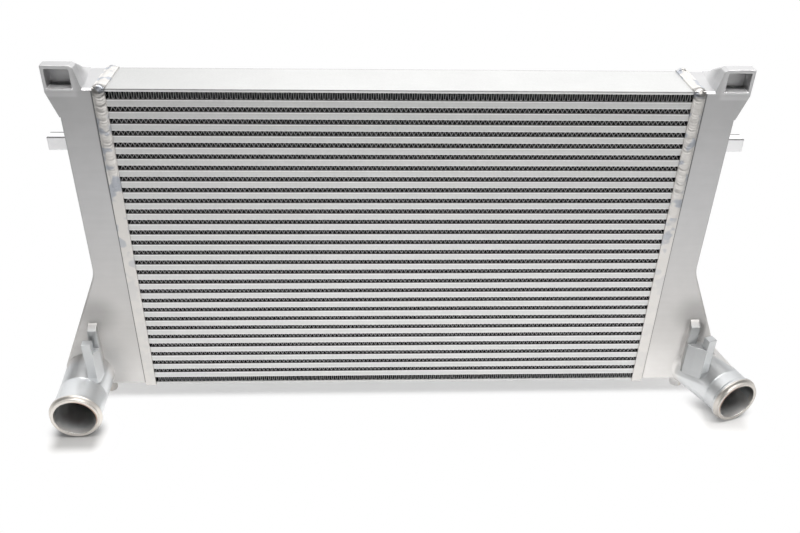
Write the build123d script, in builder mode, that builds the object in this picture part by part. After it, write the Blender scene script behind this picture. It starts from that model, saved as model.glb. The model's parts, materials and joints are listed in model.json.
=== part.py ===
from build123d import *
import os
from math import acos, atan2, cos, hypot, radians, sin

# A bar-and-plate charge-air cooler. Charge air enters one end tank, crosses the core inside 28 flat
# tubes and leaves by the other tank. Outside air crosses the fins between the tubes, front to rear.
# Millimetres. X runs along the tubes, -Y is the front face, +Z is up.
# The origin is the middle of the core's bottom face.

# Core stack
tube_count = 28
fin_width = 621.0             # air passage between the end bars
core_depth = 64.0             # front face to rear face
end_plate_thickness = 3.0
sheet_thickness = 0.5         # parting sheets brazed above and below every tube
charge_bar_height = 7.6       # front and rear bars that close a tube
charge_bar_depth = 6.0
fin_height = 5.1              # air fins between two tubes
outer_fin_height = 8.0        # air fins between the outer tubes and the end plates
fin_foil = 0.3
fin_setback = 0.6             # fins end this far inside both faces
fin_waves = 5
braze_clearance = 0.05
end_bar_width = 4.5           # bars that close the air passages at the tanks
end_bar_nose = 2.5            # their pointed edge, on the fin side
turbulator_foil = 0.4
turbulator_waves = 3
turbulator_setback = 6.0      # from both open ends of a tube

# End tanks
tank_width = 46.0             # past the core, above the flare
tank_wall = 3.5
tank_edge_bevel = 2.0
flare_start = 168.0           # height where the outer side leaves the vertical
flare_radius = 45.0
root_radius = 31.0            # round end of the flare, behind the neck
root_offset = 74.0            # its centre, past the core
root_height = 21.0
peg_radius = 8.0
peg_length = 12.5             # under the shoulder
peg_shoulder_radius = 9.5
peg_relief_width = 0.75       # groove under the shoulder
peg_relief_depth = 0.5
left_peg_offset = 63.5
right_peg_offset = 68.5
peg_depth = 30.5              # behind the front face
peg_chamfer = 0.75

# Mounting socket on each tank's top
socket_height = 24.5          # above the tank's top
socket_overhang = 10.0        # past the tank's side
socket_flank_drop = 32.0      # the overhang leaves the side this far under the tank's top
socket_side_drop = 4.5        # and is full width from here up
socket_corner = 3.5
socket_top_width = 32.0
socket_base_width = 38.5
socket_flat_depth = 13.0
socket_tail_height = 3.0      # the ridge left at the rear face
socket_tail_width = 11.5
pocket_width = 25.5
pocket_height = 21.0          # its floor is level with the tank's top
pocket_depth = 17.0
pocket_corner = 1.5
pocket_side_wall = 3.2
sill_height = 2.0
sill_depth = 1.2

# Square side pin on each tank
pin_length = 28.0
pin_size = 15.0
pin_height = 327.0
pin_chamfer = 1.0

# Outlet necks
bore_radius = 25.5
passage_radius = 26.5         # round the bend, behind the straight bore
spigot_radius = 29.5
bead_radius = 32.0
bead_width = 9.0
bead_crown = 3.6
lip_length = 2.5              # plain end in front of the bead
saddle_length = 22.0          # of the spigot, over which the saddle fairs into it
neck_root_depth = 43.0        # behind the front face
saddle_inset = 1.5            # inside the flare's round end
left_mouth_offset = 80.5      # mouth centre past the core
left_mouth_reach = 64.0       # mouth centre in front of the core's face
left_yaw = -2.0               # turned outwards, degrees
left_bore_length = 56.5
right_mouth_offset = 119.5
right_mouth_reach = 46.0
right_yaw = 18.7
right_bore_length = 41.5

# Retaining lug on each neck: two posts with a notch between them
lug_thickness = 11.0
lug_offset = 59.0             # rear post, past the core
lug_rear_height = 98.5
lug_rear_drop = 7.0           # slope of its top
lug_rear_depth = 9.0
lug_front_height = 81.0
lug_front_depth = 10.0
lug_front_reach = 18.0        # front post's centre, in front of the core's face
left_lug_front_offset = 64.5
right_lug_front_offset = 77.0
lug_notch_floor = 66.0
lug_root = 1.75               # sunk into the tank's wall

# Weld seams between the tanks and the core
weld_width = 13.0
weld_height = 1.6
weld_shift = 0.5              # towards the tank
weld_shoulder_drop = 1.0
weld_shoulder_run = 3.25

# Worked out from the sizes above
end_bar_reach = end_bar_width + end_bar_nose
core_half_width = fin_width / 2 + end_bar_reach
tube_height = charge_bar_height + 2 * sheet_thickness
tube_pitch = tube_height + fin_height
first_tube_z = end_plate_thickness + outer_fin_height
top_fin_z = first_tube_z + (tube_count - 1) * tube_pitch + tube_height
core_height = top_fin_z + outer_fin_height + end_plate_thickness
front_y = -core_depth / 2
floor_z = -bead_radius        # the beads and the pegs stand on one level

os.makedirs("parts", exist_ok=True)


def write(piece, name):
    piece.label = name
    export_step(piece, f"parts/{name}.step")


def corrugated_strip(length, height, foil, waves):
    """A zigzag ribbon that fills length by height, as a closed outline around the origin."""
    step = length / (2 * waves)
    lean = hypot(step, height - foil) / step * foil / 2
    crest = height / 2
    lower = []
    upper = []
    for index in range(2 * waves + 1):
        x = -length / 2 + index * step
        if index % 2:
            upper.append((x, crest))
            lower.append((x, crest - 2 * lean))
        else:
            upper.append((x, -crest + 2 * lean))
            lower.append((x, -crest))
    return lower + upper[::-1]


# End plates
with BuildPart() as bottom_plate:
    with BuildSketch(Plane.XY):
        Rectangle(2 * core_half_width, core_depth)
    extrude(amount=end_plate_thickness)
write(bottom_plate.part, "bottom_plate")

with BuildPart() as top_plate:
    with BuildSketch(Plane.XY.offset(core_height - end_plate_thickness)):
        Rectangle(2 * core_half_width, core_depth)
    extrude(amount=end_plate_thickness)
write(top_plate.part, "top_plate")

# Charge tubes: two parting sheets, a front bar, a rear bar and a turbulator each
with BuildPart() as parting_sheet:
    with BuildSketch(Plane.XY):
        Rectangle(2 * core_half_width, core_depth)
    extrude(amount=sheet_thickness)

with BuildPart() as charge_bar:
    with BuildSketch(Plane.XY):
        Rectangle(2 * core_half_width, charge_bar_depth)
    extrude(amount=charge_bar_height)

with BuildPart() as turbulator:
    passage = core_depth - 2 * charge_bar_depth - 2 * braze_clearance
    with BuildSketch(Plane.YZ.offset(turbulator_setback - core_half_width)):
        with BuildLine():
            Polyline(corrugated_strip(passage, charge_bar_height - 2 * braze_clearance,
                                      turbulator_foil, turbulator_waves), close=True)
        make_face()
    extrude(amount=2 * (core_half_width - turbulator_setback))

bar_y = (core_depth - charge_bar_depth) / 2
for tube in range(tube_count):
    tube_z = first_tube_z + tube * tube_pitch
    bar_z = tube_z + sheet_thickness
    write(Compound(children=[
        parting_sheet.part.moved(Location((0, 0, tube_z))),
        parting_sheet.part.moved(Location((0, 0, bar_z + charge_bar_height))),
        charge_bar.part.moved(Location((0, -bar_y, bar_z))),
        charge_bar.part.moved(Location((0, bar_y, bar_z))),
        turbulator.part.moved(Location((0, 0, bar_z + charge_bar_height / 2))),
    ]), f"charge_tube_{tube + 1:02d}")


# Air passages: a zigzag fin strip between two end bars each. The outer two are taller.
def fin_strip(height):
    with BuildPart() as strip:
        with BuildSketch(Plane.XZ.offset(fin_setback - core_depth / 2)):
            with BuildLine():
                Polyline(corrugated_strip(fin_width, height - 2 * braze_clearance,
                                          fin_foil, fin_waves), close=True)
            make_face()
        extrude(amount=core_depth - 2 * fin_setback)
    return strip.part


def end_bar(height):
    """The right-hand bar, with its pointed edge towards the fins."""
    with BuildPart() as bar:
        with BuildSketch(Plane.XZ.offset(-core_depth / 2)):
            with BuildLine():
                Polyline((core_half_width, -height / 2), (core_half_width, height / 2),
                         (core_half_width - end_bar_width, height / 2), (fin_width / 2, 0),
                         (core_half_width - end_bar_width, -height / 2), close=True)
            make_face()
        extrude(amount=core_depth)
    return bar.part


passages = [(end_plate_thickness + outer_fin_height / 2, outer_fin_height)]
for gap in range(tube_count - 1):
    passages.append((first_tube_z + tube_height + gap * tube_pitch + fin_height / 2, fin_height))
passages.append((top_fin_z + outer_fin_height / 2, outer_fin_height))

fin_forms = {height: fin_strip(height) for height in (fin_height, outer_fin_height)}
bar_forms = {height: end_bar(height) for height in (fin_height, outer_fin_height)}
air_fins = [fin_forms[height].moved(Location((0, 0, z))) for z, height in passages]
right_end_bars = [bar_forms[height].moved(Location((0, 0, z))) for z, height in passages]
left_end_bars = [bar.mirror(Plane.YZ) for bar in right_end_bars]
write(Compound(children=air_fins), "air_fins")
write(Compound(children=right_end_bars), "right_end_bars")
write(Compound(children=left_end_bars), "left_end_bars")


# End tanks: hollow castings, open towards the core. Both are drawn on the right-hand side.
side_x = core_half_width + tank_width
root_x = core_half_width + root_offset
socket_x = side_x + socket_overhang
socket_top_z = core_height + socket_height
pocket_x = socket_x - pocket_side_wall - pocket_width / 2


def tank_outline():
    """Seen from the front: a straight side, a flare, and a round end behind the neck."""
    run = hypot(root_x - side_x, flare_start - root_height)
    tangent = atan2(flare_start - root_height, side_x - root_x) - acos(root_radius / run)
    flare_end = (root_x + root_radius * cos(tangent), root_height + root_radius * sin(tangent))
    with BuildSketch() as outline:
        with BuildLine():
            Polyline((core_half_width, 0), (root_x, 0), flare_end, (side_x, flare_start),
                     (side_x, core_height), (core_half_width, core_height), close=True)
        make_face()
        with Locations((root_x, root_height)):
            Circle(root_radius)
        fillet(outline.vertices().sort_by_distance((side_x, flare_start, 0))[0], flare_radius)
    return outline.sketch


def socket_section(foot_x, crown_x, crown_z, outer_x):
    """One cross-section of the mounting socket, from its inner foot round to the tank's side."""
    with BuildSketch() as section:
        with BuildLine():
            Polyline((foot_x, core_height),
                     (crown_x - socket_corner / 3, crown_z - socket_corner / 1.5),
                     (crown_x + socket_corner / 1.5, crown_z), (outer_x, crown_z),
                     (outer_x, core_height - socket_side_drop),
                     (side_x, core_height - socket_flank_drop),
                     (side_x - socket_overhang, core_height - socket_flank_drop), close=True)
        make_face()
    return section.sketch


def bent_rod(radius, mouth, bend, end):
    """A rod of two straight runs that meet in a mitre."""
    mitre = Plane(origin=bend, z_dir=(mouth - bend).normalized() - (end - bend).normalized())
    with BuildPart() as rod:
        for tip, side in ((mouth, Keep.TOP), (end, Keep.BOTTOM)):
            run = tip - bend
            with BuildPart(mode=Mode.PRIVATE) as half:
                with BuildSketch(Plane(origin=bend - run, z_dir=run)):
                    Circle(radius)
                extrude(amount=2 * run.length)
                split(bisect_by=mitre, keep=side)
            add(half.part)
    return rod.part


def end_tank(peg_offset, mouth_offset, mouth_reach, yaw, bore_length, lug_front_offset):
    outwards = Vector(sin(radians(yaw)), -cos(radians(yaw)), 0)
    mouth = Vector(core_half_width + mouth_offset, front_y - mouth_reach, 0)
    bend = mouth - outwards * (mouth_reach / cos(radians(yaw)))
    neck_end = Vector(root_x, front_y + neck_root_depth, root_height)
    spigot_plane = Plane(origin=bend + outwards * saddle_length, x_dir=(0, 0, 1), z_dir=outwards)
    profile_plane = Plane(origin=mouth, x_dir=outwards, z_dir=(0, 0, 1))
    with BuildPart() as tank:
        # Shell, with its front and rear rims bevelled
        slab = core_depth / 2 - tank_edge_bevel
        with BuildSketch(Plane.XZ.offset(-slab)):
            add(tank_outline())
        extrude(amount=2 * slab)
        with BuildSketch(Plane.XZ.offset(slab)):
            add(tank_outline())
        extrude(amount=tank_edge_bevel, taper=45)
        with BuildSketch(Plane.XZ.offset(-slab)):
            add(tank_outline())
        extrude(amount=-tank_edge_bevel, taper=45)

        # Mounting socket, which sinks to a low ridge at the rear
        flat_end = Plane.XZ.offset(core_depth / 2 - socket_flat_depth)
        with BuildSketch(flat_end):
            add(socket_section(socket_x - socket_base_width, socket_x - socket_top_width,
                               socket_top_z, socket_x))
        extrude(amount=socket_flat_depth)
        with BuildSketch(flat_end):
            add(socket_section(socket_x - socket_base_width, socket_x - socket_top_width,
                               socket_top_z, socket_x))
        with BuildSketch(Plane.XZ.offset(-core_depth / 2)):
            add(socket_section(side_x - socket_tail_width - socket_overhang,
                               side_x - socket_tail_width, core_height + socket_tail_height,
                               side_x + braze_clearance))
        loft(ruled=True)
        with BuildSketch(Plane.XZ.offset(core_depth / 2)):
            with Locations((pocket_x, core_height - sill_height / 2)):
                Rectangle(pocket_width + sill_height, sill_height)
        extrude(amount=sill_depth)

        # Side pin
        with BuildSketch(Plane.YZ.offset(side_x - tank_wall)):
            with Locations((0, pin_height)):
                Rectangle(pin_size, pin_size)
        extrude(amount=pin_length + tank_wall)
        chamfer(tank.faces().sort_by(Axis.X)[-1].edges(), pin_chamfer)

        # Peg and its shoulder
        peg_place = (core_half_width + peg_offset, front_y + peg_depth)
        with BuildSketch(Plane.XY.offset(floor_z)):
            with Locations(peg_place):
                Circle(peg_radius)
        extrude(amount=peg_length - peg_relief_width)
        with BuildSketch(Plane.XY.offset(floor_z)):
            with Locations(peg_place):
                Circle(peg_radius - peg_relief_depth)
        extrude(amount=-floor_z)
        with BuildSketch(Plane.XY.offset(floor_z + peg_length)):
            with Locations(peg_place):
                Circle(peg_shoulder_radius)
        extrude(amount=-floor_z - peg_length)
        chamfer(tank.faces().sort_by(Axis.Z)[0].edges(), peg_chamfer)

        # Spigot, the neck that carries it back into the tank, and the saddle in front of the tank
        add(bent_rod(spigot_radius, mouth, bend, neck_end))
        with BuildSketch(Plane.XZ.offset(core_depth / 2)):
            with Locations((root_x, root_height)):
                Circle(root_radius - saddle_inset)
        with BuildSketch(spigot_plane):
            Circle(spigot_radius - braze_clearance)
        loft(ruled=True)
        with BuildSketch(profile_plane):
            bead_start = -lip_length - bead_width
            bead_slope = (bead_width - bead_crown) / 2
            with BuildLine():
                Polyline((-lip_length, bore_radius), (bead_start, bore_radius),
                         (bead_start, spigot_radius), (bead_start + bead_slope, bead_radius),
                         (-lip_length - bead_slope, bead_radius), (-lip_length, spigot_radius),
                         close=True)
            make_face()
        revolve(axis=Axis(mouth, outwards))

        # Retaining lug
        rear_post = Location((core_half_width + lug_offset, front_y - lug_rear_depth / 2))
        front_post = Location((core_half_width + lug_front_offset, front_y - lug_front_reach, 0), yaw)
        with BuildSketch(Plane.XY.offset(root_height)):
            with BuildSketch(mode=Mode.PRIVATE) as posts:
                with Locations(rear_post):
                    Rectangle(lug_thickness, lug_rear_depth + 2 * lug_root)
                with Locations(front_post):
                    Rectangle(lug_thickness, lug_front_depth)
            make_hull(posts.edges())
        extrude(amount=lug_notch_floor - root_height)
        with BuildSketch(Plane.XY.offset(lug_notch_floor)):
            with Locations(front_post):
                Rectangle(lug_thickness, lug_front_depth)
        extrude(amount=lug_front_height - lug_notch_floor)
        with BuildSketch(Plane.YZ.offset(core_half_width + lug_offset)):
            with BuildLine():
                Polyline((front_y + lug_root, lug_notch_floor),
                         (front_y + lug_root, lug_rear_height), (front_y, lug_rear_height),
                         (front_y - lug_rear_depth, lug_rear_height - lug_rear_drop),
                         (front_y - lug_rear_depth, lug_notch_floor), close=True)
            make_face()
        extrude(amount=lug_thickness / 2, both=True)

        # Hollow: the header space, the neck, the bore and the socket's pocket
        with BuildSketch(Plane.XZ.offset(tank_wall - core_depth / 2)):
            add(tank_outline())
            offset(amount=-tank_wall)
            with Locations((core_half_width, core_height / 2)):
                Rectangle(4 * tank_wall, core_height - 2 * tank_wall)
        extrude(amount=core_depth - 2 * tank_wall, mode=Mode.SUBTRACT)
        with BuildSketch(Plane(origin=mouth, x_dir=(0, 0, 1), z_dir=outwards)):
            Circle(bore_radius)
        extrude(amount=-bore_length, mode=Mode.SUBTRACT)
        add(bent_rod(passage_radius, mouth - outwards * bore_length, bend, neck_end), mode=Mode.SUBTRACT)
        with BuildSketch(Plane.XZ.offset(core_depth / 2)):
            with Locations((pocket_x, core_height + pocket_height / 2)):
                RectangleRounded(pocket_width, pocket_height, pocket_corner)
        extrude(amount=-pocket_depth, mode=Mode.SUBTRACT)
    return tank.part


right_tank = end_tank(right_peg_offset, right_mouth_offset, right_mouth_reach, right_yaw,
                      right_bore_length, right_lug_front_offset)
left_tank = end_tank(left_peg_offset, left_mouth_offset, left_mouth_reach, left_yaw,
                     left_bore_length, left_lug_front_offset)
write(right_tank, "right_tank")
write(left_tank.mirror(Plane.YZ), "left_tank")

# Weld seams, each one bead that runs round the joint of a tank and the core
with BuildPart() as right_weld:
    weld_plane = Plane.YZ.offset(core_half_width + weld_shift - weld_width / 2)
    with BuildSketch(weld_plane):
        with Locations((0, core_height / 2)):
            RectangleRounded(core_depth + 2 * weld_height, core_height + 2 * weld_height, weld_height)
            Rectangle(core_depth, core_height, mode=Mode.SUBTRACT)
    extrude(amount=weld_width)
    shoulders = right_weld.edges().filter_by(Axis.X, reverse=True).filter_by(
        lambda edge: abs(edge.center().Y) > core_depth / 2 + weld_height / 2
        or abs(edge.center().Z - core_height / 2) > core_height / 2 + weld_height / 2)
    chamfer(shoulders, length=weld_shoulder_drop, length2=weld_shoulder_run)
write(right_weld.part, "right_weld")
write(right_weld.part.mirror(Plane.YZ), "left_weld")
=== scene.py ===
import json
import math
import random

import bpy
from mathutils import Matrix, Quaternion, Vector


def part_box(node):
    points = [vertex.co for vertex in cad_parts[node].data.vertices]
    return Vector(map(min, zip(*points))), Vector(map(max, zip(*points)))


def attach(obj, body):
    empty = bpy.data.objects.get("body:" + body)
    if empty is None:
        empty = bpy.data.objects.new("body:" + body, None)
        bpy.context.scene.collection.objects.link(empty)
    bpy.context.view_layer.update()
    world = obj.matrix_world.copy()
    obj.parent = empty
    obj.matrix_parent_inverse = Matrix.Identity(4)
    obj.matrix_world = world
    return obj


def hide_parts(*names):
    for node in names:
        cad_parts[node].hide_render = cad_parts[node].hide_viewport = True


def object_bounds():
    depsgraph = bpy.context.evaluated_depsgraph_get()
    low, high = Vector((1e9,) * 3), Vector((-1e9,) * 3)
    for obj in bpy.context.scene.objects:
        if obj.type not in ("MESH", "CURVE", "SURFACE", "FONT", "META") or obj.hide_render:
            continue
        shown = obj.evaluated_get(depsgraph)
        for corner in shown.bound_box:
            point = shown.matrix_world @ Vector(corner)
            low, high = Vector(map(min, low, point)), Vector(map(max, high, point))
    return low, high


# An air-to-air intercooler: a finned core between two cast end tanks. Metres, in the frame's axes.
# X runs along the tubes, -Y is the front, and the pegs and outlet beads stand on the floor.

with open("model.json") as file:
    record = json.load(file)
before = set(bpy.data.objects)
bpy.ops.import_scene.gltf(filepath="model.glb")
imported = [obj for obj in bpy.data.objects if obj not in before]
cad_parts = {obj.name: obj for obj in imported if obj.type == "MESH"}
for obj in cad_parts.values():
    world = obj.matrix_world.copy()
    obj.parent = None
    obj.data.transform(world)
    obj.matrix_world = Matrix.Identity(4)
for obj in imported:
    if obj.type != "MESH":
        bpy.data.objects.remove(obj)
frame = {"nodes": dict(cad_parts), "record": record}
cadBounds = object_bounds()
nodes = frame["nodes"]
print("frame loaded:", len(nodes), "nodes")

hair = 1e-6
unturned = (0, 0, 0)
fullSize = (1, 1, 1)


def unselect():
    if bpy.context.object and bpy.context.object.mode != "OBJECT":
        bpy.ops.object.mode_set(mode="OBJECT")
    bpy.ops.object.select_all(action="DESELECT")


def takeUp(piece):
    # makes one piece the active, selected one
    unselect()
    piece.select_set(True)
    bpy.context.view_layer.objects.active = piece


def settle():
    # puts the active piece's place, turn and size into its mesh
    bpy.ops.object.transform_apply(location=True, rotation=True, scale=True)


def newPiece(name):
    piece = bpy.context.object
    piece.name = name
    piece.data.name = name
    return piece


def chooseEdges(piece, test):
    # selects the edges whose middle passes the test, and stays in edit mode
    takeUp(piece)
    mesh = piece.data
    for group in (mesh.vertices, mesh.edges, mesh.polygons):
        group.foreach_set("select", [False] * len(group))
    for edge in mesh.edges:
        start, end = (mesh.vertices[i].co for i in edge.vertices)
        edge.select = bool(test((start + end) / 2))
    bpy.ops.object.mode_set(mode="EDIT")
    bpy.ops.mesh.select_mode(type="EDGE")


def chooseAll(piece):
    takeUp(piece)
    bpy.ops.object.mode_set(mode="EDIT")
    bpy.ops.mesh.select_all(action="SELECT")


def pull(shift):
    # extrudes what is selected in edit mode
    bpy.ops.mesh.extrude_region_move(TRANSFORM_OT_translate={"value": shift})


def done():
    bpy.ops.object.mode_set(mode="OBJECT")


def finishWith(piece, kind, **settings):
    # adds one modifier and applies it
    takeUp(piece)
    modifier = piece.modifiers.new(kind.lower(), kind)
    for key, value in settings.items():
        setattr(modifier, key, value)
    bpy.ops.object.modifier_apply(modifier=modifier.name)


def copyOf(piece, name, place, turn=unturned, size=fullSize):
    twin = piece.copy()
    twin.data = piece.data.copy()
    twin.name = twin.data.name = name
    bpy.context.scene.collection.objects.link(twin)
    takeUp(twin)
    twin.location, twin.rotation_euler, twin.scale = place, turn, size
    settle()
    return twin


def joined(pieces, name):
    unselect()
    for piece in pieces:
        piece.select_set(True)
    bpy.context.view_layer.objects.active = pieces[0]
    bpy.ops.object.join()
    return newPiece(name)


class Wire:
    # one output socket, with Python's arithmetic turned into Math nodes
    def __init__(self, shader, socket):
        self.shader, self.socket = shader, socket

    def maths(self, operation, *values):
        return self.shader.node("ShaderNodeMath", dict(enumerate(values)), operation=operation)

    def __add__(self, other): return self.maths("ADD", self, other)
    def __radd__(self, other): return self.maths("ADD", other, self)
    def __sub__(self, other): return self.maths("SUBTRACT", self, other)
    def __rsub__(self, other): return self.maths("SUBTRACT", other, self)
    def __mul__(self, other): return self.maths("MULTIPLY", self, other)
    def __rmul__(self, other): return self.maths("MULTIPLY", other, self)
    def __pow__(self, other): return self.maths("POWER", self, other)
    def __mod__(self, other): return self.maths("FLOORED_MODULO", self, other)
    def __abs__(self): return self.maths("ABSOLUTE", self)
    def atLeast(self, other): return self.maths("MAXIMUM", self, other)

    def ramp(self, low, high, start=0.0, end=1.0):
        # smooth step from start to end between low and high
        inputs = {"Value": self, "From Min": low, "From Max": high, "To Min": start, "To Max": end}
        return self.shader.node("ShaderNodeMapRange", inputs, interpolation_type="SMOOTHSTEP", clamp=True)

    def within(self, rise, fall):
        # one between a rise and a fall, each a pair of values or None
        mask = self.ramp(*rise) if rise else 1.0
        return (1.0 - self.ramp(*fall)) * mask if fall else mask

    def times(self, gain, mask):
        # multiplied by a gain where the mask is one
        return self * (1.0 + (gain - 1.0) * mask)


class Shader:
    def __init__(self, owner):
        # the owner is a new material, or the world
        self.owner = owner
        owner.use_nodes = True
        self.tree = owner.node_tree
        self.tree.nodes.clear()
        self.spot = self.node("ShaderNodeTexCoord", {}, "Object")

    def node(self, kind, inputs, output=0, **settings):
        made = self.tree.nodes.new(kind)
        for key, value in settings.items():
            setattr(made, key, value)
        for key, value in inputs.items():
            if isinstance(value, Wire):
                self.tree.links.new(value.socket, made.inputs[key])
            else:
                made.inputs[key].default_value = value
        return None if output is None else Wire(self, made.outputs[output])

    def axes(self, vector):
        split = self.node("ShaderNodeSeparateXYZ", {0: vector})
        return [Wire(self, split.socket.node.outputs[i]) for i in range(3)]

    def noise(self, scale, detail, stretch=None):
        place = self.spot
        if stretch:
            place = self.node("ShaderNodeMapping", {"Vector": self.spot, "Scale": stretch})
        inputs = {"Vector": place, "Scale": scale, "Detail": detail, "Roughness": 0.55}
        return self.node("ShaderNodeTexNoise", inputs)

    def mix(self, amount, first, second):
        # two colours, each a tuple or a wire
        first, second = [c + (1,) if isinstance(c, tuple) else c for c in (first, second)]
        return self.node("ShaderNodeMix", {"Factor": amount, 6: first, 7: second}, 2, data_type="RGBA")

    def shade(self, colour, level):
        # a colour made lighter or darker by a value
        return self.node("ShaderNodeVectorMath", {0: colour, "Scale": level}, operation="SCALE")

    def grained(self, height, depth, strength, edge):
        # a bumped normal over rounded edges
        soft = self.node("ShaderNodeBevel", {"Radius": edge}, samples=4)
        inputs = {"Height": height, "Distance": depth, "Strength": strength, "Normal": soft}
        return self.node("ShaderNodeBump", inputs)

    def along(self, place, direction):
        # distance of a point from a place, measured along a direction
        gap = self.node("ShaderNodeVectorMath", {0: self.spot, 1: place}, operation="SUBTRACT")
        return self.node("ShaderNodeVectorMath", {0: gap, 1: direction}, "Value", operation="DOT_PRODUCT")

    def reach(self, place):
        # distance of a point from a place
        return self.node("ShaderNodeVectorMath", {0: self.spot, 1: place}, "Value", operation="DISTANCE")

    def shown(self):
        # whether a ray comes from the camera, straight or through glass, and whether it is mirrored
        path = self.node("ShaderNodeLightPath", {}).socket.node
        straight, mirrored, through = [
            Wire(self, path.outputs[f"Is {kind} Ray"]) for kind in ("Camera", "Glossy", "Transmission")]
        mirrored = mirrored * (1.0 - straight)
        return 1.0 - (1.0 - straight) * (1.0 - through * (1.0 - mirrored)), mirrored

    def body(self, **inputs):
        names = {"colour": "Base Color", "metal": "Metallic", "rough": "Roughness", "normal": "Normal"}
        return self.node("ShaderNodeBsdfPrincipled", {names[key]: value for key, value in inputs.items()})


# In each look, a noise gives its scale, its detail, its stretch and the shares of it that go into
# the tone, the roughness and the height of the grain. A mark gives a gain, or one for the left and
# one for the right, and where it applies: between a rise and a fall along each measure named.
# "side" and "depth" are the distances from the core's middle in X and Y, "faceX" to "faceZ" say
# which way the surface faces, "lean" is how far it faces up or down, and "drop" is the distance
# below the top of a tube.
castLook = {
    "colour": (0.477, 0.479, 0.488),
    "warm": (0.485, 0.477, 0.470),      # painted warm tint of the floor's light on the lower casting
    "warmFades": (0.05, 0.30),
    "cool": (0.470, 0.482, 0.492),      # and painted cool tint of the reflections on the outlets
    "coolFades": (-0.042, -0.034),
    "metal": 0.85,
    "tone": 0.87,
    "rough": 0.32,
    "noises": [
        (14.0, 4.0, None, 0.10, 0.10, 0.0),
        (60.0, 3.0, None, 0.08, 0.0, 0.0),
        (900.0, 2.0, None, 0.0, 0.05, 1.0),                 # sand grain of the casting
        (150.0, 3.0, (0.12, 1.0, 1.0), 0.08, 0.0, 0.0),     # brushed along X
    ],
    "grain": (0.00006, 1.0, 0.0014),    # depth, strength and rounding of the edges
    "seam": {                           # dark line where the weld meets the casting
        "place": 0.3249, "width": (0.0008, 0.0015), "widens": (0.20, 0.32), "edges": (0.6, 1.6),
        "shade": 0.3, "ends": (0.3975, 0.3995),
    },
    "pocket": {
        "side": ((0.3444, 0.3448), (0.3703, 0.3707)),
        "y": ((-0.0316, -0.0312), (-0.0148, -0.0140)),
        "z": ((0.3995, 0.4002), (0.4216, 0.4222)),
    },
    # painted shade inside the socket pockets
    "pocketShade": 0.93,
    "pocketFloor": (0.4010, 0.4016),
    "floorGain": (2.5, 0.8),            # painted light in front and painted shade behind
    "floorFades": (-0.0225, -0.0195),
    "pin": {"side": ((0.3635, 0.3639), None), "z": ((0.3184, 0.3186), (0.3352, 0.3354))},
    # painted light on the side pins
    "pinGain": 1.95,
    "pinEdge": {"z": ((0.3336, 0.3340), None), "depth": ((0.0050, 0.0056), None)},
    "pinLine": 0.38,                    # dark lines along a pin's upper edges
    "marks": [
        # painted light on the front of the sockets
        (1.22, {"y": (None, (-0.0316, -0.0312)), "z": ((0.3900, 0.3930), None),
                "side": ((0.338, 0.344), None)}),
        # painted light on the lower part of the castings, bounced up from the floor
        ((1.26, 1.38), {"z": (None, (0.0, 0.10))}),
        # painted shade on the upper casting, under the sockets
        (0.93, {"z": ((0.30, 0.385), (0.3960, 0.3990))}),
        # painted light on the left outlet, painted shade on the right one
        ((1.27, 0.90), {"y": (None, (-0.045, -0.033))}),
        # painted shade on the left-facing side of the right lug
        (0.68, {"x": ((0.30, 0.34), None), "y": (None, (-0.036, -0.034)),
                "z": ((0.010, 0.014), (0.066, 0.067)),
                "faceX": (None, (-0.5, -0.3)), "lean": (None, (0.15, 0.3))}),
        # painted shade over the lamp's reflection on the sloping tops of the rear posts
        (0.74, {"y": (None, (-0.0345, -0.0335)), "z": ((0.088, 0.090), None),
                "faceZ": ((0.3, 0.5), (0.9, 0.97))}),
        # painted shade on their fronts, over the notch
        (0.72, {"y": ((-0.0430, -0.0425), (-0.0345, -0.0335)), "z": ((0.0655, 0.0665), None),
                "faceY": (None, (-0.9, -0.8))}),
        # fronts of the front posts: painted shade on the left one, painted light on the right one
        ((0.85, 1.28), {"y": (None, (-0.0500, -0.0480)), "z": ((0.0285, 0.0305), None),
                        "faceY": (None, (-0.9, -0.8))}),
    ],
    "lugs": [(-0.370, -0.032, 0.112), (0.374, -0.032, 0.108)],
    "lugPatch": (0.004, 0.036),         # painted shade on the casting above each lug
    "lugShade": 0.72,
    "pegs": [(-0.381, -0.0015), (0.386, -0.0015)],
    "pegRadius": (0.0100, 0.0106),
    "pegTop": (-0.0004, 0.0),
    "pegGain": 1.75,
    "pegTurns": (-0.003, 0.007),        # from the painted light to the painted shade on the right
    "pegSide": 0.35,                    # share of the painted light on the right
    "pegTone": (0.50, 0.47, 0.435),
    "mouths": [
        # middle of the mouth, direction it faces, the side where its lip is brown
        ((-0.398, -0.096, 0.0), (0.0349, -0.9994, 0.0), 1.0),
        ((0.437, -0.078, 0.0), (0.3206, -0.9472, 0.0), -1.0),
    ],
    "bore": {"radius": (None, (0.0270, 0.0275)), "ahead": (None, (-0.0008, 0.0))},
    "boreShade": (2.1, 0.38),           # painted light at the bottom and painted shade at the top of a bore
    "boreHeight": (-0.012, 0.008),
    "bead": {"radius": ((0.0252, 0.0256), (0.034, 0.035)), "ahead": ((-0.0075, -0.0055), None)},
    "beadTone": (0.44, 0.42, 0.395),
    "lip": {"radius": ((0.0250, 0.0252), (0.0268, 0.0272)), "ahead": ((-0.0080, -0.0050), None),
            "across": ((-0.006, 0.012), None), "z": ((-0.018, 0.0), None)},
    "lipTone": (0.30, 0.17, 0.11),
    "lipShare": 0.85,
}
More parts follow.
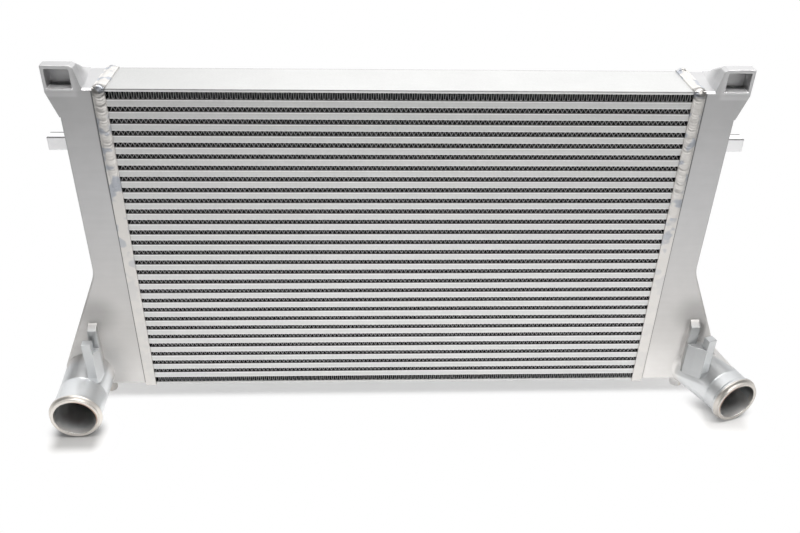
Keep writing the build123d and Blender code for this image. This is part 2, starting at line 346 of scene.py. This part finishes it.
coreLook = {
    "colour": (0.535, 0.54, 0.54),
    "metal": 0.85,
    "tone": 0.78,
    "rough": 0.28,
    "noises": [
        (22.0, 3.0, None, 0.10, 0.0, 0.0),
        (1600.0, 2.0, None, 0.10, 0.0, 1.0),
        (220.0, 2.0, (0.25, 1.0, 1.0), 0.12, 0.16, 0.6),    # streaks along the tubes
        (480.0, 2.0, None, 0.14, 0.0, 0.0),
    ],
    "grain": (0.00005, 1.0, 0.0004),
    "tubes": {"pitch": 0.0137, "first": 0.011, "height": 0.0086},
    "marks": [
        # brazed joint over a tube, darkened with painted shade, and painted highlights on the edge under
        # it and on the tube's lower edge
        (0.2, {"drop": (None, (0.00072, 0.00099))}),
        (1.35, {"drop": ((0.00072, 0.00099), (0.00162, 0.00216))}),
        (1.22, {"drop": ((0.0075, 0.0079), None)}),
        # painted shade along the top plate's front and rear edges, and painted light on the strip under it
        (0.5, {"depth": ((0.0309, 0.0315), None), "z": ((0.3994, 0.3996), None)}),
        (1.3, {"depth": ((0.0309, 0.0315), None), "z": ((0.3974, 0.3976), (0.3994, 0.3996))}),
        # painted shade on the left end of the top plate
        (0.86, {"z": ((0.3993, 0.4003), None), "x": (None, (-0.33, -0.05))}),
        # painted shade inside the air passages
        (0.05, {"depth": (None, (0.0302, 0.0312)), "z": ((0.0008, 0.0012), (0.3989, 0.3993))}),
    ],
}
foilLook = {
    "colour": (0.50, 0.505, 0.51),
    "metal": 0.9,
    "tone": 0.85,
    "rough": 0.33,
    "noises": [(300.0, 2.0, None, 0.3, 0.1, 0.0)],
    # painted shade: the foil turns black behind its front and rear edges
    "marks": [(0.0, {"depth": (None, (0.0288, 0.0314))})],
}
weldLook = {
    "colour": (0.595, 0.582, 0.566),
    "metal": 0.9,
    "tone": 0.88,
    "rough": 0.32,
    "noises": [
        (40.0, 3.0, None, 0.16, 0.1, 0.0),
        (500.0, 3.0, None, 0.06, 0.0, 1.0),
    ],
    "grain": (0.0002, 0.6, 0.0008),
    "marks": [
        # painted light on the top of the tanks, and painted shade over the lamp's highlight at the front
        # corner
        (1.16, {"z": ((0.3955, 0.3985), None), "y": ((-0.0300, -0.0220), None)}),
        (0.5, {"z": ((0.3925, 0.3945), None), "y": (None, (-0.0280, -0.0230))}),
    ],
    "patch": (0.38, 0.40, 0.44),        # blue-grey patches left by the heat
    "patchNoise": (70.0, 1.0),
    "patchEdge": (0.49, 0.60),
    "patchRises": (0.12, 0.26, 0.12, 1.0),  # faint low down, full above
}
middleBand = (-0.1, 0.1)                # over which a left gain turns into a right one


def maskOf(measures, place):
    mask = 1.0
    for name, (rise, fall) in place.items():
        mask = measures[name].within(rise, fall) * mask
    return mask


def measured(s, look):
    # what the place of a mark can be given by
    x, y, z = s.axes(s.spot)
    faceX, faceY, faceZ = s.axes(s.node("ShaderNodeTexCoord", {}, "Normal"))
    measures = {"x": x, "y": y, "z": z, "side": abs(x), "depth": abs(y),
                "faceX": faceX, "faceY": faceY, "faceZ": faceZ, "lean": abs(faceZ)}
    tubes = look.get("tubes")
    if tubes:
        measures["drop"] = tubes["height"] - (z - tubes["first"]) % tubes["pitch"]
    return measures


def plainColour(s, look, measures, level):
    return s.shade(look["colour"], level)


def weldColour(s, look, measures, level):
    patch = s.noise(*look["patchNoise"]).ramp(*look["patchEdge"]) * measures["z"].ramp(*look["patchRises"])
    return s.shade(s.mix(patch, look["colour"], look["patch"]), level)


def castLevel(s, look, measures, level):
    # the seam, the painted shade and light in the pockets, the painted light on the pins and the painted
    # shade above the lugs
    y, z = measures["y"], measures["z"]
    seam = look["seam"]
    width = z.ramp(*seam["widens"], *seam["width"])
    start, end = (share * width for share in seam["edges"])
    line = abs(measures["side"] - seam["place"]).ramp(start, end, seam["shade"], 1.0)
    level = level * (line + (1.0 - line) * z.ramp(*seam["ends"]))
    pocket = maskOf(measures, look["pocket"])
    level = level.times(look["pocketShade"], pocket)
    # painted shade in the pockets, with painted light on the front of the pocket floors
    floorPart = pocket * z.within(None, look["pocketFloor"])
    level = level.times(y.ramp(*look["floorFades"], *look["floorGain"]), floorPart)
    # painted light on the side pins, with dark lines along their upper edges
    pinLine = (look["pinLine"] - look["pinGain"]) * maskOf(measures, look["pinEdge"])
    level = level.times(look["pinGain"] + pinLine, maskOf(measures, look["pin"]))
    # painted shade on the casting above each lug
    for place in look["lugs"]:
        level = level.times(look["lugShade"], s.reach(place).within(None, look["lugPatch"]))
    return level


def castColour(s, look, measures, level):
    x, y, z = (measures[name] for name in "xyz")
    level = castLevel(s, look, measures, level)
    onPeg = 0.0
    for pegX, pegY in look["pegs"]:
        acrossX, acrossY = x - pegX, y - pegY
        away = (acrossX * acrossX + acrossY * acrossY) ** 0.5
        shape = away.within(None, look["pegRadius"]) * z.within(None, look["pegTop"])
        onPeg = shape * acrossX.ramp(*look["pegTurns"], 1.0, look["pegSide"]) + onPeg
    # painted light on the pegs, which sit in the tanks' shadow, with painted shade on their right sides
    level = level.times(look["pegGain"], onPeg)
    # painted warm tint of the light low down, and painted cool tint of the reflections on the outlets
    tone = s.mix(z.ramp(*look["warmFades"]), look["warm"], look["colour"])
    tone = s.mix(y.within(None, look["coolFades"]), tone, look["cool"])
    colour = s.shade(s.mix(onPeg, tone, look["pegTone"]), level)
    for mouth, faces, brown in look["mouths"]:
        ahead = s.along(mouth, faces)
        radius = (s.reach(mouth) ** 2.0 - ahead ** 2.0) ** 0.5
        here = {"radius": radius, "ahead": ahead, "across": (x - mouth[0]) * brown, "z": z}
        colour = s.mix(maskOf(here, look["bead"]), colour, s.shade(look["beadTone"], level))
        # painted light low in each bore, painted shade high in it
        boreShade = z.ramp(*look["boreHeight"], *look["boreShade"])
        colour = s.mix(maskOf(here, look["bore"]), colour, s.shade(colour, boreShade))
        colour = s.mix(maskOf(here, look["lip"]) * look["lipShare"], colour, look["lipTone"])
    return colour


def metal(name, look, coloured=plainColour):
    s = Shader(bpy.data.materials.new(name))
    level, rough, height = look["tone"], look["rough"], 0.0
    for scale, detail, stretch, toneShare, roughShare, heightShare in look["noises"]:
        noise = s.noise(scale, detail, stretch)
        if toneShare:
            level = level + toneShare * noise
        if roughShare:
            rough = rough + roughShare * noise
        if heightShare:
            height = height + heightShare * noise
    measures = measured(s, look)
    for gain, place in look["marks"]:
        if isinstance(gain, tuple):
            gain = measures["x"].ramp(*middleBand, *gain)
        level = level.times(gain, maskOf(measures, place))
    inputs = {"colour": coloured(s, look, measures, level), "metal": look["metal"], "rough": rough}
    if "grain" in look:
        inputs["normal"] = s.grained(height, *look["grain"])
    s.node("ShaderNodeOutputMaterial", {"Surface": s.body(**inputs)}, None)
    return s.owner


finishes = {
    "core": metal("coreMetal", coreLook),
    "fins": metal("foilMetal", foilLook),
    "cast_tank": metal("castMetal", castLook, castColour),
    "weld": metal("weldMetal", weldLook, weldColour),
}


def paint(piece, finish):
    piece.data.materials.clear()
    piece.data.materials.append(finishes[finish])


slotOf = {row["node"]: row["material_slot"] for row in frame["record"]["subparts"]}
for name, node in nodes.items():
    paint(node, slotOf[name])
print("materials made:", ", ".join(finishes))


dice = random.Random(7)

finRows = {
    "waves": 121,
    "foil": 0.00042,
    "crest": 0.0003,            # flat top of a fold
    "tallCrest": 0.0019,        # and in the outer rows, which are folded square
    "tallRow": 0.007,           # rows higher than this are the outer ones
    "clearance": 0.00005,
    "shift": 0.3,               # of a fold, from row to row
    "fold": 0.005,
}


def passages():
    # floor and ceiling of every air passage, read from the frame
    tubes = sorted(name for name in nodes if name.startswith("charge_tube_"))
    floors = [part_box("bottom_plate")[1].z] + [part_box(name)[1].z for name in tubes]
    ceilings = [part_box(name)[0].z for name in tubes] + [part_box("top_plate")[0].z]
    return zip(floors, ceilings)


def foldedRow(height):
    # one fold: valley, wall, crest, wall; then as many as fill the row
    low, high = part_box("air_fins")
    pitch = (high.x - low.x) / (finRows["waves"] + finRows["shift"])
    crest = finRows["tallCrest"] if height > finRows["tallRow"] else finRows["crest"]
    run = pitch / 2 - crest
    rise = height - finRows["foil"] - 2 * finRows["clearance"]
    unselect()
    bpy.ops.mesh.primitive_plane_add(size=1, location=(0, 0, 0))
    row = newPiece("finRow")
    row.scale = (crest, high.y - low.y, 1)
    row.location = (low.x + crest / 2, 0, -rise / 2)
    settle()
    edge = low.x + crest
    for stepX, stepZ in ((run, rise), (crest, 0), (run, -rise)):
        chooseEdges(row, lambda p: p.x > edge - hair)
        pull((stepX, 0, stepZ))
        edge += stepX
        done()
    finishWith(row, "ARRAY", count=finRows["waves"], use_relative_offset=False,
               use_constant_offset=True, constant_offset_displace=(pitch, 0, 0),
               use_merge_vertices=True, merge_threshold=hair)
    finishWith(row, "SOLIDIFY", thickness=finRows["foil"], offset=0)
    return row


def makeFins():
    rows, forms = [], {}
    for index, (floor, ceiling) in enumerate(passages()):
        height = round(ceiling - floor, 6)
        if height not in forms:
            forms[height] = foldedRow(height)
        slide = dice.uniform(0, finRows["shift"]) * finRows["fold"]
        rows.append(copyOf(forms[height], f"finRow{index}", (slide, 0, (floor + ceiling) / 2)))
    for form in forms.values():
        bpy.data.objects.remove(form)
    fins = joined(rows, "airFins")
    paint(fins, "fins")
    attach(fins, "root")
    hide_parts("air_fins")
    print("air fins:", len(fins.data.polygons), "faces")


makeFins()

welds = {
    "middle": 0.318,            # of the bead, from the core's middle
    "radius": 0.0062,
    "sides": 24,
    "steps": [(0.0005, 0.0005), (0.0014, 0.0005), (0.0017, 0.0003), (0.0012, 0.0001)],
    "skirt": 0.003,
    "proud": 0.0009,            # above the bead's crown
    "start": {"left": 0.285, "right": 0.215},    # lowest ripple on each front seam
    "fade": 0.045,              # over which the ripples rise out of the smooth bead
    "sink": 0.0015,
    "frontEnd": 0.002,          # no ripple in front is nearer than this to the top
    "topEnd": 0.0068,           # and none on top is nearer than this to the front or rear
    "topSink": 0.0016,
    "pitch": 0.0032,
    "tilt": math.radians(-18.0),
    "tiltSpread": (0.8, 1.2),
    "turnSpread": (-0.05, 0.05),
    "sideSpread": (-0.0003, 0.0003),
    "sizeSpread": {"front": (0.97, 1.02), "top": (0.94, 1.02)},
    "pitchSpread": {"front": (0.88, 1.12), "top": (0.9, 1.3)},
    "blobDrop": 0.0024,
    "blobs": [
        # end of the bead, inset from it, turn and size
        ("front", 0.0022, -math.pi / 4, (1.05, 1.8, 1.05)),
        ("rear", 0.0028, -3 * math.pi / 4, (0.85, 1.1, 0.85)),
    ],
}


def rippleForm():
    # a low dome, facing forwards, whose lower edge stands out
    unselect()
    bpy.ops.mesh.primitive_circle_add(vertices=welds["sides"], radius=welds["radius"],
                                      fill_type="NGON", rotation=(math.pi / 2, 0, 0))
    form = newPiece("ripple")
    settle()
    chooseAll(form)
    for thickness, depth in welds["steps"]:
        bpy.ops.mesh.inset(thickness=thickness, depth=depth)
    done()
    chooseEdges(form, lambda p: p.xz.length > 0.98 * welds["radius"] and abs(p.y) < hair)
    pull((0, welds["skirt"], 0))
    bpy.ops.mesh.select_all(action="SELECT")
    bpy.ops.mesh.normals_make_consistent(inside=False)
    done()
    bpy.ops.object.shade_smooth()
    return form


def seamRipples(form, side, sign):
    low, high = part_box(side + "_weld")
    start = welds["start"][side]
    domeHeight = sum(depth for thickness, depth in welds["steps"])
    middle = sign * welds["middle"]
    ripples = []

    def lay(kind, place, turn):
        # one ripple; says how far it is to the next
        size = [dice.uniform(*welds["sizeSpread"][kind])] * 3
        ripples.append(copyOf(form, side + "Ripple", place, turn, size))
        return welds["pitch"] * dice.uniform(*welds["pitchSpread"][kind])

    for front, crown in ((1, low.y), (-1, high.y)):
        z = start
        while z < high.z - welds["frontEnd"]:
            rise = min(1.0, (z - start) / welds["fade"])
            out = welds["proud"] - welds["sink"] * (1 - rise)
            tilt = welds["tilt"] * dice.uniform(*welds["tiltSpread"])
            turn = dice.uniform(*welds["turnSpread"]) + (0 if front > 0 else math.pi)
            x = middle + dice.uniform(*welds["sideSpread"])
            z += lay("front", (x, crown - front * (out - domeHeight), z), (tilt, 0, turn))
    y = low.y + welds["topEnd"]
    while y < high.y - welds["topEnd"]:
        x = middle + dice.uniform(*welds["sideSpread"])
        tilt = welds["tilt"] * dice.uniform(*welds["tiltSpread"])
        place = (x, y, high.z + 0.5 * welds["proud"] - welds["topSink"])
        y += lay("top", place, (-math.pi / 2 - tilt, 0, 0))
    for end, inset, turn, size in welds["blobs"]:
        y = low.y + inset if end == "front" else high.y - inset
        place = (middle, y, high.z - welds["blobDrop"])
        ripples.append(copyOf(form, side + "Blob", place, (turn, 0, 0), size))
    seam = joined(ripples, side + "WeldRipples")
    paint(seam, "weld")
    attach(seam, "root")
    print(side, "weld ripples:", len(seam.data.polygons), "faces")


def makeWelds():
    form = rippleForm()
    for side, sign in (("left", -1), ("right", 1)):
        seamRipples(form, side, sign)
    bpy.data.objects.remove(form)


makeWelds()

studio = {
    "floorSize": 8.0,
    "floorColour": (0.98, 0.98, 0.98),
    "floorRough": 0.9,
    "floorTone": (0.99, 0.02),          # and how much of a noise is added
    "floorNoise": (3.0, 2.0),
    "shadows": [
        # middle, half size, how far out it fades, share of the floor's own shading that shows, painted
        # shadow
        ((0.0, 0.0), (0.43, 0.010), 0.016, 0.5, 1.0),
        ((-0.400, -0.096), (0.018, 0.012), 0.030, 0.92, 0.35),
        ((0.426, -0.072), (0.018, 0.016), 0.036, 0.80, 0.60),
    ],
    "mirrorLift": 0.3,          # how far the floor is lifted to plain white in mirrored rays
    "frontLevel": 0.0,          # the front half of the room, as the metal mirrors it
    "frontEnds": (-0.35, 0.35),
    "worldLevel": 0.02,
    "worldColour": (0.93, 0.96, 1.0),
    "white": (1.0, 1.0, 1.0),
    "lampColour": (1.0, 0.985, 0.965),
    "lamps": [
        # name, place, aim, width, depth, watts
        ("overhead", (0.10, -0.10, 1.3), (0.1, -0.1, 0.0), 1.6, 0.6, 23.2),
        ("frontTop", (0.10, -0.45, 1.2), (0.1, -0.3, 0.0), 1.4, 0.3, 11.7),
        ("backdrop", (0.2, 1.9, 1.0), (0.1, 0.0, 0.3), 2.6, 1.2, 5.0),
        ("right", (1.0, -1.2, 0.5), (0.2, 0.0, 0.1), 0.7, 0.7, 0.45),
    ],
}
view = {
    "place": (-0.04189, -0.88080, 0.72757),
    "aim": (0.00228, 0.0, 0.15887),
    "roll": math.radians(1.378),
    "lens": 38.03,
    "sensor": 36.0,
}


def placed(name, data, place, aim):
    # a lamp or a camera that looks from its place at its aim
    made = bpy.data.objects.new(name, data)
    bpy.context.scene.collection.objects.link(made)
    made.location = place
    made.rotation_mode = "QUATERNION"
    made.rotation_quaternion = (Vector(aim) - Vector(place)).to_track_quat("-Z", "Y")
    return made


def floorWhite():
    # plain white to the camera, apart from the shadows close round the object, partly the floor's own
    # shading and partly painted shadow under the outlets
    s = Shader(bpy.data.materials.new("floorWhite"))
    x, y, z = s.axes(s.spot)
    tone, grain = studio["floorTone"]
    level = tone + grain * s.noise(*studio["floorNoise"])
    shade = 0.0
    for (middleX, middleY), (halfX, halfY), reach, share, dark in studio["shadows"]:
        overX = (abs(x - middleX) - halfX).atLeast(0.0)
        overY = (abs(y - middleY) - halfY).atLeast(0.0)
        gap = (overX ** 2.0 + overY ** 2.0) ** 0.5
        shade = gap.ramp(0.0, reach, share, 0.0).atLeast(shade)
        # painted shadow on the floor under the outlet mouths
        if dark < 1.0:
            level = level * gap.ramp(0.0, reach, dark, 1.0)
    matt = s.body(colour=s.shade(studio["floorColour"], level), rough=studio["floorRough"])
    plain = s.node("ShaderNodeEmission", {"Strength": 1.0})
    straight, mirrored = s.shown()
    amount = straight * (1.0 - shade) + mirrored * studio["mirrorLift"]
    both = s.node("ShaderNodeMixShader", {0: amount, 1: matt, 2: plain})
    s.node("ShaderNodeOutputMaterial", {"Surface": both}, None)
    return s.owner


def makeStudio():
    unselect()
    bpy.ops.mesh.primitive_plane_add(size=studio["floorSize"], location=(0, 0, cadBounds[0].z))
    floor = newPiece("floor")
    settle()
    floor.data.materials.append(floorWhite())
    bpy.context.scene.world = bpy.data.worlds.new("studio")
    s = Shader(bpy.context.scene.world)
    dim = tuple(channel * studio["worldLevel"] for channel in studio["worldColour"])
    straight, mirrored = s.shown()
    x, y, z = s.axes(s.spot)
    seen = straight + mirrored * y.ramp(*studio["frontEnds"], studio["frontLevel"], 1.0)
    back = s.node("ShaderNodeBackground", {"Color": s.mix(seen, dim, studio["white"])})
    s.node("ShaderNodeOutputWorld", {"Surface": back}, None)
    for name, place, aim, width, depth, watts in studio["lamps"]:
        data = bpy.data.lights.new(name, "AREA")
        data.shape = "RECTANGLE"
        data.size, data.size_y = width, depth
        data.energy, data.color = watts, studio["lampColour"]
        placed(name, data, place, aim)


def makeCamera():
    data = bpy.data.cameras.new("camera")
    data.lens, data.sensor_width = view["lens"], view["sensor"]
    camera = placed("camera", data, view["place"], view["aim"])
    roll = Quaternion((0, 0, 1), view["roll"])
    camera.rotation_quaternion = camera.rotation_quaternion @ roll
    bpy.context.scene.camera = camera


makeStudio()
makeCamera()
bpy.context.scene.view_settings.view_transform = "Standard"
print("studio and camera set")
